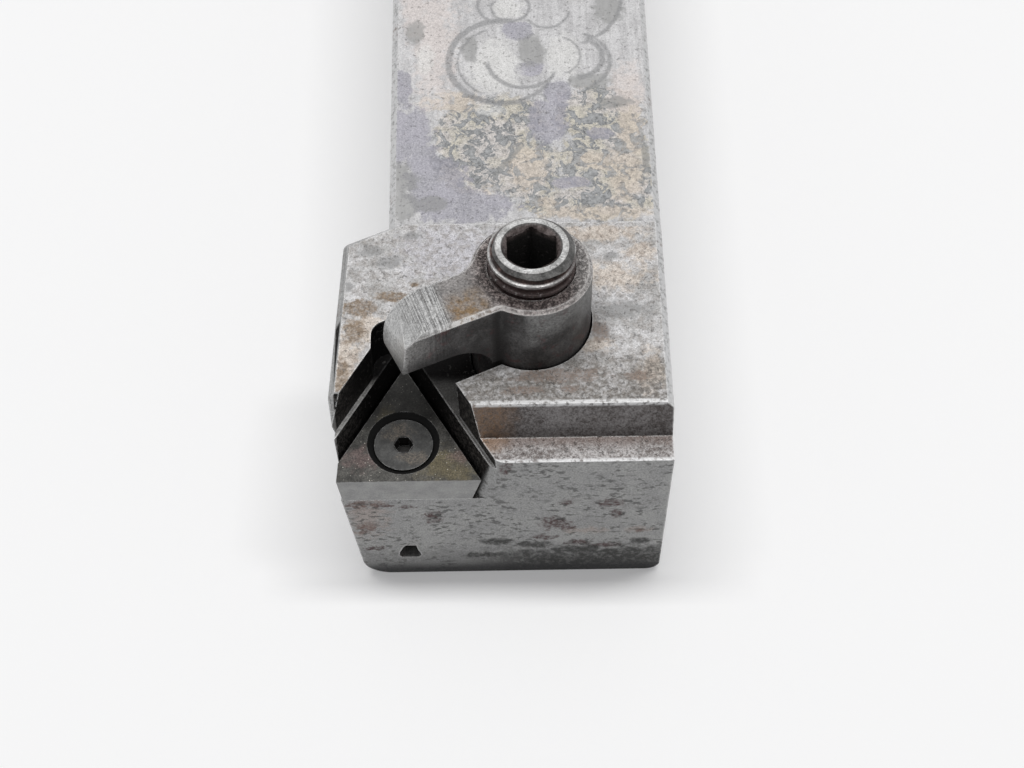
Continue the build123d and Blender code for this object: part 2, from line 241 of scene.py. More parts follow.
# ---- Node helpers ----
class Graph:
    """The nodes of a material or world under construction. Its helpers return output sockets."""

    def __init__(self, owner):
        owner.use_nodes = True
        self.tree = owner.node_tree
        self.tree.nodes.clear()

    def node(self, kind, **settings):
        made = self.tree.nodes.new(kind)
        for key, value in settings.items():
            setattr(made, key, value)
        return made

    def link(self, source, target):
        self.tree.links.new(source, target)

    def put(self, value, target):
        if isinstance(value, bpy.types.NodeSocket):
            self.link(value, target)
        elif isinstance(value, (tuple, list)) and len(value) == 3 and len(target.default_value) == 4:
            target.default_value = (*value, 1.0)
        else:
            target.default_value = value

    def math(self, operation, a, b=0.0):
        made = self.node("ShaderNodeMath", operation=operation)
        self.put(a, made.inputs[0])
        self.put(b, made.inputs[1])
        return made.outputs[0]

    def add(self, a, b):
        return self.math("ADD", a, b)

    def times(self, *factors):
        result = factors[0]
        for factor in factors[1:]:
            result = self.math("MULTIPLY", result, factor)
        return result

    def most(self, *masks):
        result = masks[0]
        for mask in masks[1:]:
            result = self.math("MAXIMUM", result, mask)
        return result

    def ramp(self, value, low, high, start=0.0, end=1.0):
        """Smooth step from start to end as value goes from low to high."""
        made = self.node("ShaderNodeMapRange", interpolation_type="SMOOTHSTEP")
        self.put(value, made.inputs["Value"])
        made.inputs["From Min"].default_value = low
        made.inputs["From Max"].default_value = high
        made.inputs["To Min"].default_value = start
        made.inputs["To Max"].default_value = end
        return made.outputs[0]

    def seen(self):
        """1 for what the camera, a reflection or a refraction sees directly."""
        rays = self.node("ShaderNodeLightPath").outputs
        return self.most(rays["Is Camera Ray"], rays["Is Glossy Ray"], rays["Is Transmission Ray"])


class Finish(Graph):
    """A steel material under construction, in the piece's own millimetres."""

    def __init__(self, name, metallic):
        self.material = bpy.data.materials.new(name)
        super().__init__(self.material)
        self.shader = self.node("ShaderNodeBsdfPrincipled")
        self.shader.inputs["Metallic"].default_value = metallic
        output = self.node("ShaderNodeOutputMaterial")
        self.link(self.shader.outputs["BSDF"], output.inputs["Surface"])
        coords = self.node("ShaderNodeTexCoord")
        self.place = self.scaled(coords.outputs["Object"], 1 / MM)
        self.x, self.y, self.z = self.split(self.place)
        self.nx, self.ny, self.nz = self.split(coords.outputs["Normal"])
        self.ragged = self.noise(0.9, detail=6, rough=0.65)

    def invert(self, mask):
        return self.math("SUBTRACT", 1.0, mask)

    def split(self, vector):
        made = self.node("ShaderNodeSeparateXYZ")
        self.link(vector, made.inputs[0])
        return made.outputs

    def scaled(self, vector, factor):
        made = self.node("ShaderNodeVectorMath", operation="SCALE")
        self.link(vector, made.inputs[0])
        made.inputs["Scale"].default_value = factor
        return made.outputs[0]

    def along(self, direction, origin):
        """Distance from origin along a direction, in millimetres."""
        made = self.node("ShaderNodeVectorMath", operation="DOT_PRODUCT")
        self.link(self.place, made.inputs[0])
        made.inputs[1].default_value = direction
        return self.math("SUBTRACT", made.outputs["Value"], Vector(direction).dot(Vector(origin)))

    def reach(self, a, b):
        """Length of the two sides a and b together."""
        return self.math("SQRT", self.add(self.math("POWER", a, 2.0), self.math("POWER", b, 2.0)))

    def band(self, value, low, high, soft=0.05):
        """1 between low and high, 0 outside."""
        rise = self.ramp(value, low - soft, low + soft)
        return self.times(rise, self.ramp(value, high - soft, high + soft, 1, 0))

    def swing(self, noise, size):
        """How far a noise wanders from its middle, times size."""
        return self.times(self.add(noise, -0.5), size)

    def mapped(self, centre=(0, 0, 0), size=(1, 1, 1)):
        made = self.node("ShaderNodeMapping", vector_type="TEXTURE")
        self.link(self.place, made.inputs["Vector"])
        made.inputs["Location"].default_value = centre
        made.inputs["Scale"].default_value = size
        return made.outputs[0]

    def noise(self, size, detail=4.0, rough=0.5, stretch=(1, 1, 1), seed=0.0, distortion=0.0):
        """Noise from 0 to 1 whose main lumps are about size millimetres across, longer where stretched."""
        made = self.node("ShaderNodeTexNoise", noise_dimensions="3D")
        self.link(self.mapped((seed, seed, seed), [size * s for s in stretch]), made.inputs["Vector"])
        made.inputs["Scale"].default_value = 1.0
        made.inputs["Detail"].default_value = detail
        made.inputs["Roughness"].default_value = rough
        made.inputs["Distortion"].default_value = distortion
        return made.outputs["Fac"]

    def line_noise(self, value, detail, rough):
        """Noise from 0 to 1 along one value."""
        made = self.node("ShaderNodeTexNoise", noise_dimensions="1D")
        self.link(value, made.inputs["W"])
        made.inputs["Scale"].default_value = 1.0
        made.inputs["Detail"].default_value = detail
        made.inputs["Roughness"].default_value = rough
        return made.outputs["Fac"]

    def spots(self, size, seed=0.0):
        """Distance from the nearest of many scattered points, as a share of their spacing."""
        made = self.node("ShaderNodeTexVoronoi", feature="F1")
        self.link(self.mapped((seed, seed, seed), (size, size, size)), made.inputs["Vector"])
        made.inputs["Scale"].default_value = 1.0
        return made.outputs["Distance"]

    def spread(self, centre, size):
        """Distance from a centre in sizes: (x, y) on a top, or (x, 0, z) and (x, z) on the front."""
        if len(centre) == 3:
            share = (1 / size[0], 0, 1 / size[1])
        else:
            centre = (*centre, 0)
            share = (1 / size[0], 1 / size[1], 0)
        offset = self.node("ShaderNodeVectorMath", operation="MULTIPLY_ADD")
        self.link(self.place, offset.inputs[0])
        offset.inputs[1].default_value = share
        offset.inputs[2].default_value = [-c * s for c, s in zip(centre, share)]
        made = self.node("ShaderNodeVectorMath", operation="LENGTH")
        self.link(offset.outputs[0], made.inputs[0])
        return made.outputs["Value"]

    def blots(self, patches, ragged=0.6, soft=0.3):
        """Ragged patches, each a centre and a size as spread takes them."""
        nearest = None
        for centre, size in patches:
            away = self.spread(centre, size)
            nearest = away if nearest is None else self.math("MINIMUM", nearest, away)
        return self.ramp(self.add(nearest, self.swing(self.ragged, 4 * ragged)), 1 - soft, 1 + soft, 1, 0)

    def blot(self, centre, size, **settings):
        return self.blots([(centre, size)], **settings)

    def arc(self, centre, radius, width, middle, sweep):
        """Part of a ring on a top, sweep degrees long about the bearing middle."""
        toward = math.radians(middle)
        span = self.spread(centre, (1, 1))
        ahead = self.along((math.cos(toward), math.sin(toward), 0), (*centre, 0))
        share = self.math("DIVIDE", ahead, span)
        limit = math.cos(math.radians(sweep / 2))
        wander = self.add(span, self.swing(self.ragged, 0.5))
        edge = self.band(wander, radius - width / 2, radius + width / 2, 0.14)
        return self.times(edge, self.ramp(share, limit - 0.08, limit + 0.08))

    def mix(self, mask, a, b):
        made = self.node("ShaderNodeMix", data_type="RGBA")
        self.put(mask, made.inputs[0])
        self.put(a, made.inputs[6])
        self.put(b, made.inputs[7])
        return made.outputs[2]

    def blend(self, value, low, high, a, b):
        """Colour from a to b as value goes from low to high."""
        return self.mix(self.ramp(value, low, high), a, b)

    def shade(self, colour, factor):
        """colour made lighter or darker by a factor."""
        made = self.node("ShaderNodeHueSaturation")
        self.put(colour, made.inputs["Color"])
        self.put(factor, made.inputs["Value"])
        return made.outputs[0]

    def edges(self, radius):
        """1 on edges and 0 on flats, from how far rounding would turn the surface."""
        rounded = self.node("ShaderNodeBevel", samples=2)
        rounded.inputs["Radius"].default_value = radius * MM
        flat = self.node("ShaderNodeNewGeometry")
        turn = self.node("ShaderNodeVectorMath", operation="DOT_PRODUCT")
        self.link(rounded.outputs[0], turn.inputs[0])
        self.link(flat.outputs["Normal"], turn.inputs[1])
        return self.ramp(turn.outputs["Value"], 0.995, 0.88)

    def hollow(self, distance):
        """1 in the open and 0 deep in corners and holes."""
        made = self.node("ShaderNodeAmbientOcclusion", samples=2)
        made.inputs["Distance"].default_value = distance * MM
        return made.outputs["AO"]

    def relief(self, height, depth):
        """Raises the surface by height, from 0 to 1, times depth in millimetres."""
        made = self.node("ShaderNodeBump")
        made.inputs["Strength"].default_value = 1.0
        made.inputs["Distance"].default_value = depth * MM
        self.link(height, made.inputs["Height"])
        self.link(made.outputs[0], self.shader.inputs["Normal"])

    def done(self, colour, roughness):
        self.put(colour, self.shader.inputs["Base Color"])
        self.put(roughness, self.shader.inputs["Roughness"])
        return self.material


# ---- Holder body ----
def holder_zones(f):
    """A mask for each surface of the holder."""
    up = f.ramp(f.nz, 0.85, 0.95)
    shank = f.ramp(f.y, -0.06, 0.06)
    shank_top = f.times(up, shank, f.ramp(f.z, SHANK_TOP - 0.3, SHANK_TOP - 0.2))
    head_top = f.times(up, f.invert(shank), f.ramp(f.z, HEAD_TOP - 0.3, HEAD_TOP - 0.2))
    ahead = f.ramp(f.ny, -0.6, -0.8)
    below_ledge = f.ramp(f.z, LEDGE + 0.02, LEDGE - 0.02)
    front = f.times(ahead, below_ledge, f.ramp(f.y, FRONT + 1.2, FRONT + 1.0))
    right_of_seat = f.ramp(f.x, -8.0, -7.5)
    riser = f.times(ahead, f.invert(below_ledge), right_of_seat)
    ledge = f.times(up, f.band(f.z, LEDGE - 0.1, LEDGE + 0.1), right_of_seat)
    return SimpleNamespace(up=up, shank_top=shank_top, head_top=head_top, front=front,
                           right_of_seat=right_of_seat, riser=riser, ledge=ledge)


def holder_noises(f):
    """The noises that several surfaces of the holder share."""
    clouds = f.noise(3.2, detail=5, rough=0.62)
    grain = f.noise(0.15, detail=3, rough=0.75, seed=4)
    pits = f.ramp(f.noise(0.4, detail=4, rough=0.62, seed=9), 0.58, 0.68)
    streaks = f.noise(0.5, detail=4, rough=0.6, stretch=(1, 14, 1), seed=13)
    crumble = f.noise(0.45, detail=5, rough=0.7, seed=19)
    return SimpleNamespace(clouds=clouds, grain=grain, pits=pits, streaks=streaks, crumble=crumble)


def bare_sides(f, n):
    """Colour of the sides, the back end and the underside: streaked, with scattered rust."""
    hairs = f.noise(0.16, detail=2, rough=0.6, stretch=(1, 90, 1), seed=15)
    colour = f.blend(n.clouds, 0.3, 0.7, SIDE_DARK, SIDE_LIGHT)
    colour = f.mix(f.ramp(n.streaks, 0.42, 0.68, 0.0, 0.4), colour, SIDE_STREAK)
    colour = f.shade(colour, f.ramp(hairs, 0.3, 0.7, 0.78, 1.25))
    rusty = f.ramp(f.noise(1.7, detail=4, rough=0.66, seed=53), 0.57, 0.64)
    here_and_there = f.ramp(f.noise(14, detail=2, seed=57), 0.40, 0.58)
    return f.mix(f.times(rusty, here_and_there, 0.75), colour, SIDE_RUST)


def shank_map(f, n, flakes):
    """Pale steel under a crust of tan flakes with darker channels, and the crust's mask."""
    islands = f.noise(2.6, detail=3, rough=0.5, seed=29)
    pale = f.blend(f.add(n.streaks, n.clouds), 0.8, 1.2, PALE_LIGHT, PALE_DARK)
    far = f.times(f.ramp(f.y, 27, 34), f.ramp(f.noise(7.0, detail=4, seed=33), 0.46, 0.56))
    near = f.blots([((0.4, 6.6), (3.4, 4.2)), ((-4.6, 9.8), (4.2, 6.0)), ((8.0, 6.6), (4.6, 6.2)),
                    ((7.4, 13.2), (4.4, 3.8)), ((-1.4, 12.6), (3.6, 3.4)), ((6.0, 2.4), (6.8, 1.8))],
                   ragged=0.35, soft=0.12)
    crust = f.most(near, far)
    tan = f.blend(islands, 0.40, 0.60, FLAKE_ROSE, FLAKE_SAND)
    flaked = f.blend(f.add(flakes, f.swing(n.crumble, 0.22)), 0.465, 0.515, FLAKE_GAP, tan)
    fainter = f.times(f.band(flakes, 0.555, 0.575, 0.010), 0.7)
    lines = f.most(f.band(flakes, 0.43, 0.465, 0.014), fainter)
    flaked = f.mix(f.times(lines, 0.75), flaked, FLAKE_LINE)
    flaked = f.shade(flaked, f.ramp(n.crumble, 0.3, 0.7, 0.78, 1.12))
    return f.mix(crust, pale, flaked), crust


def warm_films(f, n, flakes, colour):
    """Lays the peach and pink films over the shank's top."""
    peach = f.blots([((6.6, 1.3), (5.4, 0.8)), ((0.3, 6.9), (1.9, 2.6)), ((-3.2, 4.1), (0.7, 0.7)),
                     ((9.6, 6.2), (1.7, 3.4)), ((6.8, 7.6), (2.0, 1.0)), ((2.0, 2.6), (1.4, 0.6)),
                     ((10.4, 12.0), (1.2, 5.0)), ((-7.2, 15.0), (2.6, 1.4))], ragged=0.5, soft=0.3)
    peach = f.times(peach, f.ramp(flakes, 0.40, 0.50, 0.15, 0.75))
    colour = f.mix(peach, colour, f.blend(n.crumble, 0.35, 0.6, PEACH_DARK, PEACH_LIGHT))
    pink = f.blots([((-8.6, 23.5), (2.0, 7.5)), ((10.3, 16.5), (1.5, 3.0)), ((-10.3, 27.0), (1.2, 4.0)),
                    ((-7.5, 42.0), (3.0, 12.0)), ((7.0, 52.0), (3.0, 14.0)), ((-2.0, 84.0), (4.0, 16.0))],
                   ragged=0.9, soft=0.5)
    return f.mix(f.times(pink, 0.75), colour, PINK_FILM)


def lavender_film(f, n, colour):
    """Lays the lavender film over the shank's top, and returns its mask too."""
    lavender = f.blots([((-11.3, 11.0), (2.5, 3.4)), ((-9.4, 7.6), (1.7, 2.6)), ((-8.2, 5.2), (3.0, 3.0)),
                        ((-5.6, 2.2), (4.6, 1.9)), ((2.4, 12.4), (1.9, 2.7)), ((3.5, 15.9), (1.4, 1.9)),
                        ((4.4, 4.9), (1.8, 0.7)), ((7.4, 10.9), (1.4, 0.7)), ((-0.2, 24.2), (1.6, 1.2)),
                        ((0.9, 19.2), (1.5, 0.9)), ((-11.6, 17.0), (0.9, 2.2)), ((-3.0, 58.0), (4.0, 5.0))],
                       ragged=0.4, soft=0.13)
    grained = f.times(lavender, f.ramp(n.grain, 0.25, 0.7, 0.95, 0.6))
    film = f.blend(n.clouds, 0.35, 0.6, LAVENDER_DARK, LAVENDER_LIGHT)
    return f.mix(grained, colour, film), lavender


def shank_gloom(f, n, colour):
    """Adds a scar and dark smudges to the shank's top, and returns the smudges' mask too."""
    from_scar = f.along(Vector((0.81, -0.58, 0)), (-1.8, 7.2, 0))
    scar = f.times(f.band(from_scar, -0.28, 0.28, 0.12),
                   f.blot((-1.5, 7.6), (1.9, 3.2), ragged=0.2, soft=0.3))
    gloom = f.blots([((-11.5, 5.6), (1.3, 1.9)), ((-11.6, 2.4), (1.7, 1.7)), ((-8.6, 2.6), (1.5, 0.9)),
                     ((6.8, 17.5), (2.0, 1.1)), ((9.0, 14.8), (1.6, 0.7)), ((1.1, 21.5), (1.35, 2.2)),
                     ((-5.0, 21.8), (0.9, 1.6)), ((11.7, 8.0), (0.35, 1.9)), ((-10.4, 24.0), (0.9, 1.6)),
                     ((8.9, 27.0), (1.6, 2.0))], ragged=0.45, soft=0.25)
    grained = f.times(f.most(gloom, scar), f.ramp(n.grain, 0.25, 0.65, 0.35, 0.8))
    return f.mix(grained, colour, SHANK_GLOOM), gloom


def pressed_rings(f, n, zones):
    """Mask of the rings pressed into the shank by the screws that held it."""
    rings = f.most(f.arc((-1.7, 20.2), 5.4, 0.62, 185, 215), f.arc((-1.9, 20.2), 5.35, 0.4, 262, 165),
                   f.arc((-1.7, 20.1), 4.5, 0.22, 175, 130), f.arc((0.3, 20.4), 3.6, 0.45, 245, 120),
                   f.arc((5.14, 20.2), 3.67, 0.42, 5, 130), f.arc((5.37, 20.65), 2.7, 0.6, 350, 150),
                   f.arc((3.4, 20.9), 2.5, 0.2, 0, 140), f.arc((-1.9, 27.7), 2.3, 0.3, 210, 150),
                   f.arc((-0.9, 27.4), 1.9, 0.3, 280, 240), f.arc((2.7, 26.8), 2.2, 0.28, 285, 150),
                   f.arc((3.6, 28.7), 6.7, 0.4, 327, 70), f.arc((1.7, 15.3), 0.65, 0.2, 80, 220))
    return f.times(rings, f.ramp(n.clouds, 0.2, 0.45, 0.45, 1.0), zones.shank_top)


def ring_hearts(f):
    """Mask of the bright middles of the pressed rings."""
    return f.blots([((-2.6, 19.6), (2.6, 3.4)), ((4.2, 20.6), (1.7, 2.6)), ((-1.2, 27.2), (1.5, 1.3)),
                    ((-9.4, 20.6), (0.8, 1.8)), ((-3.0, 14.0), (1.2, 0.8))], ragged=0.5, soft=0.35)


def shank_top_colour(f, n, zones):
    """Colour of the shank's top, with the masks of its crust and its rings."""
    flakes = f.noise(1.25, detail=5, rough=0.60, seed=17, distortion=0.9)
    colour, crust = shank_map(f, n, flakes)
    colour = warm_films(f, n, flakes, colour)
    colour, lavender = lavender_film(f, n, colour)
    colour, gloom = shank_gloom(f, n, colour)
    rings = pressed_rings(f, n, zones)
    colour = f.mix(f.times(ring_hearts(f), f.invert(gloom), 0.6), colour, RING_HEART)
    colour = f.mix(f.times(rings, 0.7), colour, RING_LINE)
    return f.shade(colour, f.ramp(lavender, 0, 1, 1.09, 1.0)), crust, rings


def head_steel(f, n):
    """Cloudy steel of the head's top, with a lavender film, a mottle and warm clouds."""
    colour = f.blend(n.clouds, 0.35, 0.65, HEAD_DARK, HEAD_LIGHT)
    film = f.blot((-6.5, -3.2), (4.5, 3.0), ragged=0.8, soft=0.5)
    colour = f.mix(f.times(film, 0.5), colour, HEAD_LAVENDER)
    mottle = f.ramp(f.noise(0.8, detail=6, rough=0.8, seed=37), 0.45, 0.60)
    colour = f.mix(f.times(mottle, 0.62), colour, HEAD_MOTTLE)
    warm = f.blots([((6.9, -1.3), (3.9, 0.8)), ((7.9, -6.2), (3.0, 1.3)), ((10.6, -3.4), (1.4, 1.2)),
                    ((5.6, -13.6), (1.6, 0.8)), ((-16.3, -15.4), (1.2, 3.6)), ((-14.4, -11.6), (1.6, 1.4)),
                    ((10.8, -16.6), (1.2, 2.0))], ragged=0.9, soft=0.5)
    return f.mix(f.times(warm, 0.7), colour, f.mix(mottle, HEAD_WARM_LIGHT, HEAD_WARM_DARK))


def head_stains(f, n, colour):
    """Adds grime towards the front, brown at the left, rust and dim spots. Returns the brown's mask too."""
    grime = f.times(f.ramp(f.add(f.y, f.swing(n.clouds, 14)), -12.5, -17.5), f.ramp(f.x, -9, -6))
    colour = f.mix(f.times(grime, f.ramp(n.crumble, 0.36, 0.64, 0.25, 0.95)), colour, HEAD_GRIME)
    brown = f.blots([((-15.2, -9.3), (1.6, 0.9)), ((-12.2, -8.2), (1.7, 0.55)), ((-15.6, -11.8), (0.9, 1.3)),
                     ((-10.2, -6.9), (0.6, 0.3)), ((-16.5, -17.0), (0.6, 1.9))], ragged=0.6, soft=0.35)
    colour = f.mix(f.times(brown, f.ramp(n.crumble, 0.36, 0.6, 0.35, 1.0)), colour, HEAD_BROWN)
    rust = f.blots([((-0.5, -18.4), (1.7, 0.4)), ((3.9, -18.3), (1.0, 0.35)), ((9.8, -17.0), (1.1, 0.5)),
                    ((6.4, -12.2), (0.8, 1.1)), ((2.6, -17.0), (3.6, 0.7)), ((5.0, -4.0), (0.5, 0.25))],
                   ragged=0.9, soft=0.4)
    colour = f.mix(f.times(rust, f.ramp(n.grain, 0.4, 0.6, 0.3, 0.8)), colour, HEAD_RUST)
    dim = f.blots([((-14.2, -3.0), (1.1, 0.6)), ((-12.6, -4.3), (1.2, 0.7)), ((8.8, -9.8), (2.4, 1.0)),
                   ((7.7, -3.9), (0.7, 0.5)), ((-16.4, -7.0), (0.5, 0.5)), ((-10.5, -1.2), (1.0, 0.4))],
                  ragged=0.9, soft=0.5)
    return f.mix(f.times(dim, f.ramp(n.grain, 0.3, 0.6, 0.3, 0.85)), colour, HEAD_DIM), brown


def front_blooms(f, n):
    """Colour of the front: mid grey with rust blooms and an orange glow. Returns the blooms' mask too."""
    colour = f.blend(n.clouds, 0.3, 0.7, FRONT_DARK, FRONT_LIGHT)
    blooms = f.blots([((-15.4, 0, 14.4), (1.3, 0.8)), ((-13.8, 0, 14.2), (1.2, 0.4)),
                      ((-15.2, 0, 9.8), (1.0, 0.9)), ((-14.8, 0, 5.4), (0.8, 0.4)),
                      ((-8.9, 0, 11.9), (0.8, 1.2)), ((2.4, 0, 10.2), (1.3, 1.1)),
                      ((3.6, 0, 9.2), (0.9, 0.5)), ((7.4, 0, 14.0), (1.1, 0.8)),
                      ((8.2, 0, 12.0), (0.5, 0.8)), ((4.8, 0, 6.0), (1.2, 0.6)),
                      ((7.2, 0, 5.4), (1.2, 0.6)), ((1.4, 0, 7.2), (1.0, 0.6)),
                      ((3.4, 0, 14.4), (0.6, 0.6)), ((10.4, 0, 8.4), (0.5, 0.4)),
                      ((-11.4, 0, 13.9), (0.7, 0.3)), ((-2.2, 0, 21.0), (0.5, 1.2))], ragged=0.95, soft=0.4)
    colour = f.mix(f.times(blooms, f.ramp(n.crumble, 0.40, 0.58, 0.2, 1.0)), colour, FRONT_BLOOM)
    glow = f.blots([((5.4, 0, 8.6), (1.8, 0.6)), ((-13.6, 0, 16.0), (2.2, 0.4)),
                    ((10.2, 0, 8.6), (1.0, 0.5)), ((-15.0, 0, 12.0), (1.6, 3.4))], ragged=0.9, soft=0.6)
    return f.mix(f.times(glow, 0.4), colour, FRONT_ORANGE), blooms


def front_scabs(f, n, colour):
    """Adds small dark scabs and a dark band low down to the front, and painted shade along its foot."""
    small = f.noise(0.6, detail=5, rough=0.6, stretch=(1.3, 1, 0.8), seed=41)
    scabs = f.times(f.ramp(small, 0.52, 0.60), f.ramp(f.noise(2.4, detail=2, seed=47), 0.38, 0.55))
    low = f.times(f.ramp(f.add(f.z, f.swing(f.ragged, 9.0)), 6.6, 3.2), f.ramp(f.x, -8.0, 1.0, 0.3, 1.0))
    tongues = f.blots([((-2.9, 0, 6.4), (1.6, 0.7)), ((0.5, 0, 5.6), (1.6, 0.8)),
                       ((-3.8, 0, 3.6), (2.2, 0.7)), ((4.4, 0, 4.6), (3.0, 0.8)),
                       ((9.4, 0, 4.2), (2.6, 0.9)), ((10.6, 0, 6.2), (1.0, 0.6))], ragged=0.8, soft=0.5)
    low = f.most(low, tongues)
    dark = f.most(f.times(scabs, 0.7), f.times(low, f.ramp(n.crumble, 0.32, 0.56, 0.6, 1.0)))
    colour = f.mix(dark, colour, FRONT_SCAB)
    # Painted shade: the front darkens to nearly black over its lowest 2.4 mm, by the floor
    return f.mix(f.ramp(f.z, 2.4, 0.6, 0.0, 0.85), colour, FRONT_FOOT_SHADE)


def riser_rust(f, n, fine):
    """Colour of the riser: brown-purple rust, orange by the pocket."""
    rust = f.blend(f.add(fine, f.swing(n.clouds, 0.5)), 0.38, 0.64, RISER_LIGHT, RISER_DARK)
    orange = f.blot((-3.6, -19.5), (1.9, 4.0), ragged=0.5, soft=0.6)
    return f.mix(f.times(orange, f.ramp(fine, 0.38, 0.62, 0.95, 0.35)), rust, RISER_ORANGE)


def ledge_rust(f, n, fine):
    """Colour of the ledge: speckled pinkish, browner along its inner corner, orange by the pocket."""
    rust = f.blend(f.add(fine, f.swing(n.clouds, 0.4)), 0.36, 0.62, LEDGE_DARK, LEDGE_LIGHT)
    inside = f.ramp(f.add(f.y, f.swing(n.clouds, 2.0)), -22.6, -21.3)
    rust = f.mix(f.times(inside, 0.7), rust, LEDGE_CORNER)
    orange = f.blot((-3.8, -21.4), (1.8, 1.2), ragged=0.4, soft=0.5)
    return f.mix(f.times(orange, 0.6), rust, LEDGE_ORANGE)


def pocket_zone(f, zones):
    """Mask of the pocket, the slot and the bores."""
    seat = f.blot((-9.6, -16.6), (9.4, 9.4), ragged=0.0, soft=0.02)
    bore = f.blot((0.2, -11.2), (6.4, 6.4), ragged=0.0, soft=0.02)
    inner = f.times(f.most(seat, bore), f.band(f.z, 0.5, HEAD_TOP - 0.15, 0.05), f.invert(zones.front),
                    f.invert(zones.riser), f.invert(zones.ledge), f.ramp(f.x, -17.35, -17.25),
                    f.ramp(f.z, 15.0, 15.2))
    return f.times(inner, f.invert(f.ramp(f.nx, -0.97, -0.985)))


def pocket_shade_colour(f, n, zones):
    """Colour of the pocket: painted shade, nearly black, with patchy painted light towards the front, and a
    bright step in its wall whose colour is cut to a quarter to the right as painted shade.
    """
    # Painted light: patchy lighter colour towards the front of the pocket
    lit = f.times(f.ramp(f.noise(0.3, detail=5, rough=0.7, seed=81), 0.44, 0.64), f.ramp(f.y, -15.5, -19.0))
    darkness = f.mix(lit, POCKET_SHADE, POCKET_LIT)
    step = f.times(zones.up, f.band(f.z, 20.75, 20.95), f.ramp(f.y, -13.5, -15.0))
    # Painted shade: the step's colour is cut to a quarter right of x = -10.5 mm
    step = f.times(step, f.ramp(n.clouds, 0.35, 0.55, 0.5, 1.0), f.ramp(f.x, -10.5, -12.0, 0.25, 1.0))
    return f.mix(step, darkness, POCKET_STEP)


def holder_specks(f, n, zones, colour):
    """Adds dark pits and grain to every surface, with the grain weaker on the shank's top."""
    specks = f.times(n.pits, f.ramp(f.noise(2.6, detail=3, seed=3), 0.38, 0.6, 0.35, 1.0))
    colour = f.mix(f.times(specks, 0.5), colour, HOLDER_SPECK)
    contrast = f.add(n.grain, -0.5)
    return f.shade(colour, f.add(1.0, f.times(contrast, f.ramp(zones.shank_top, 0, 1, 1.9, 1.2))))


def bright_lips(f, zones, chips, colour):
    """Brightens the lips above the riser and in front of the ledge, and the chamfers along the top: partly
    bare worn steel, partly a painted highlight where these edges catch the light.
    """
    lips = f.most(f.times(zones.riser, f.ramp(f.z, HEAD_TOP - 0.4, HEAD_TOP - 0.15)),
                  f.times(zones.head_top, zones.right_of_seat, f.ramp(f.y, -19.35, -19.6)),
                  f.times(zones.ledge, f.ramp(f.y, FRONT + 0.45, FRONT + 0.2)))
    bevels = f.times(f.band(f.nz, 0.5, 0.85), f.ramp(f.z, 24.0, 24.6), f.ramp(f.x, -15.0, -14.0))
    lips = f.times(f.most(lips, bevels), f.ramp(chips, 0.34, 0.54, 0.15, 1.0), 0.85)
    return f.mix(lips, colour, LIP_WEAR_AND_HIGHLIGHT)


def worn_edges_and_highlight(f, zones, chips, inner, colour):
    """Bares the steel along the edges, less so deep in the pocket and on the shank, and brightens the edge of
    the pocket's step: partly wear, partly a painted highlight.
    """
    arris = f.edges(0.22)
    worn = f.times(arris, f.ramp(chips, 0.36, 0.52), f.ramp(f.hollow(0.8), 0.42, 0.62))
    deep = f.times(inner, f.ramp(f.y, -17.0, -14.5))
    worn = f.times(worn, f.ramp(deep, 0, 1, 0.95, 0.1), f.ramp(zones.shank_top, 0, 1, 1, 0.4))
    # Partly wear, partly painted highlight: a bright line along the edge of the pocket's step
    step = f.times(arris, inner, f.band(f.z, 20.3, 21.2, 0.2), f.ramp(f.y, -14.0, -15.5),
                   f.ramp(chips, 0.3, 0.45))
    return f.mix(f.most(worn, step), colour, BRIGHT_WEAR_AND_HIGHLIGHT)


def holder_finish():
    f = Finish("worn_holder_steel", 0.55)
    zones = holder_zones(f)
    n = holder_noises(f)
    colour = bare_sides(f, n)
    top, crust, rings = shank_top_colour(f, n, zones)
    colour = f.mix(zones.shank_top, colour, top)
    head, brown = head_stains(f, n, head_steel(f, n))
    colour = f.mix(zones.head_top, colour, head)
    face, blooms = front_blooms(f, n)
    colour = f.mix(zones.front, colour, front_scabs(f, n, face))
    fine = f.noise(0.34, detail=4, rough=0.85, seed=61)
    colour = f.mix(f.times(zones.riser, 0.95), colour, riser_rust(f, n, fine))
    colour = f.mix(zones.ledge, colour, ledge_rust(f, n, fine))
    inner = pocket_zone(f, zones)
    # The pocket, the slot and the bores get painted shade and painted light
    colour = f.mix(inner, colour, pocket_shade_colour(f, n, zones))
    colour = holder_specks(f, n, zones, colour)
    chips = f.noise(0.4, detail=4, rough=0.6, seed=91)
    colour = bright_lips(f, zones, chips, colour)
    colour = worn_edges_and_highlight(f, zones, chips, inner, colour)
    # Painted shade: darker in corners, holes and under the clamp, from ambient occlusion within 3 mm
    colour = f.shade(colour, f.ramp(f.hollow(3.0), 0.15, 0.85, 0.35, 1.0))

    matt = f.most(inner, f.times(zones.shank_top, 0.6))
    f.put(f.ramp(matt, 0, 1, 0.5, 0.1), f.shader.inputs["Specular IOR Level"])
    f.put(f.ramp(zones.shank_top, 0, 1, 0.55, 0.2), f.shader.inputs["Metallic"])
    height = f.add(f.times(n.grain, 0.28), f.times(n.pits, -0.45))
    f.relief(f.add(height, f.times(rings, -0.35)), 0.07)
    rusted = f.ramp(f.most(crust, blooms, brown, inner), 0.0, 1.0, 0.0, 0.2)
    tops = f.most(zones.shank_top, zones.head_top, zones.front)
    dulled = f.add(rusted, f.add(f.times(tops, 0.11), f.times(zones.shank_top, 0.12)))
    return f.done(colour, f.add(f.ramp(n.clouds, 0.3, 0.7, 0.36, 0.46), dulled))


